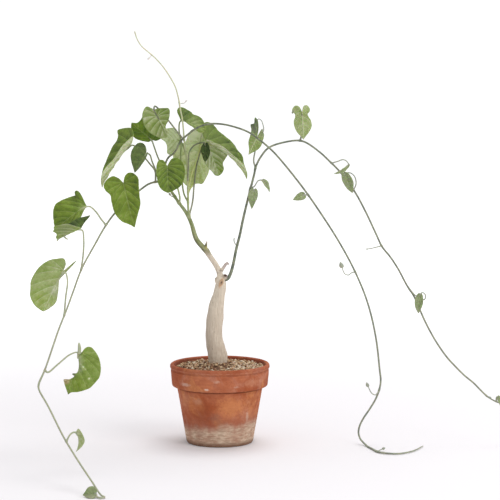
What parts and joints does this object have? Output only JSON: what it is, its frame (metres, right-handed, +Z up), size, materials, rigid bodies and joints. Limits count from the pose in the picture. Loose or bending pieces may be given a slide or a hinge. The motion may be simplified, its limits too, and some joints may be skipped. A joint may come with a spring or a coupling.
{
  "type": "potted ipomoea lapidosa",
  "caption": "Young caudiciform climber in a small clay pot: a bent swollen trunk, long thin arching stems and heart-shaped leaves, standing on its pot's flat foot.",
  "frame": {"origin": "centre of the underside of the pot's foot", "axes": "+Z up out of the pot; +X to the side that the long stems arch over to; -Y to the viewer of the picture"},
  "size_m": [0.5563, 0.3773, 0.4937],
  "materials": {
    "fired_clay": "matte",
    "grit": "matte",
    "bark": "matte",
    "green_stem": "matte",
    "young_stem": "matte",
    "leaf_green": "satin"
  },
  "bodies": {
    "root": {"pot": "fired_clay", "soil": "grit", "trunk": "bark", "leader_stem": "green_stem", "top_shoot": "young_stem", "left_vine": "green_stem", "middle_vine": "green_stem", "right_vine": "green_stem", "leaf_front_heart": "leaf_green", "leaf_front_round": "leaf_green", "leaf_top_veined": "leaf_green", "leaf_upper_left": "leaf_green", "leaf_left_small": "leaf_green", "leaf_back_left": "leaf_green", "leaf_back_centre": "leaf_green", "leaf_back_right": "leaf_green", "leaf_shaded_small": "leaf_green", "leaf_left_folded": "leaf_green", "leaf_right_upper": "leaf_green", "leaf_right_folded": "leaf_green", "left_vine_leaf_1": "leaf_green", "left_vine_leaf_2": "leaf_green", "left_vine_leaf_3": "leaf_green", "left_vine_leaf_4": "leaf_green", "left_vine_leaf_5": "leaf_green", "right_vine_leaf_1": "leaf_green", "right_vine_leaf_2": "leaf_green"}
  },
  "joints": []
}
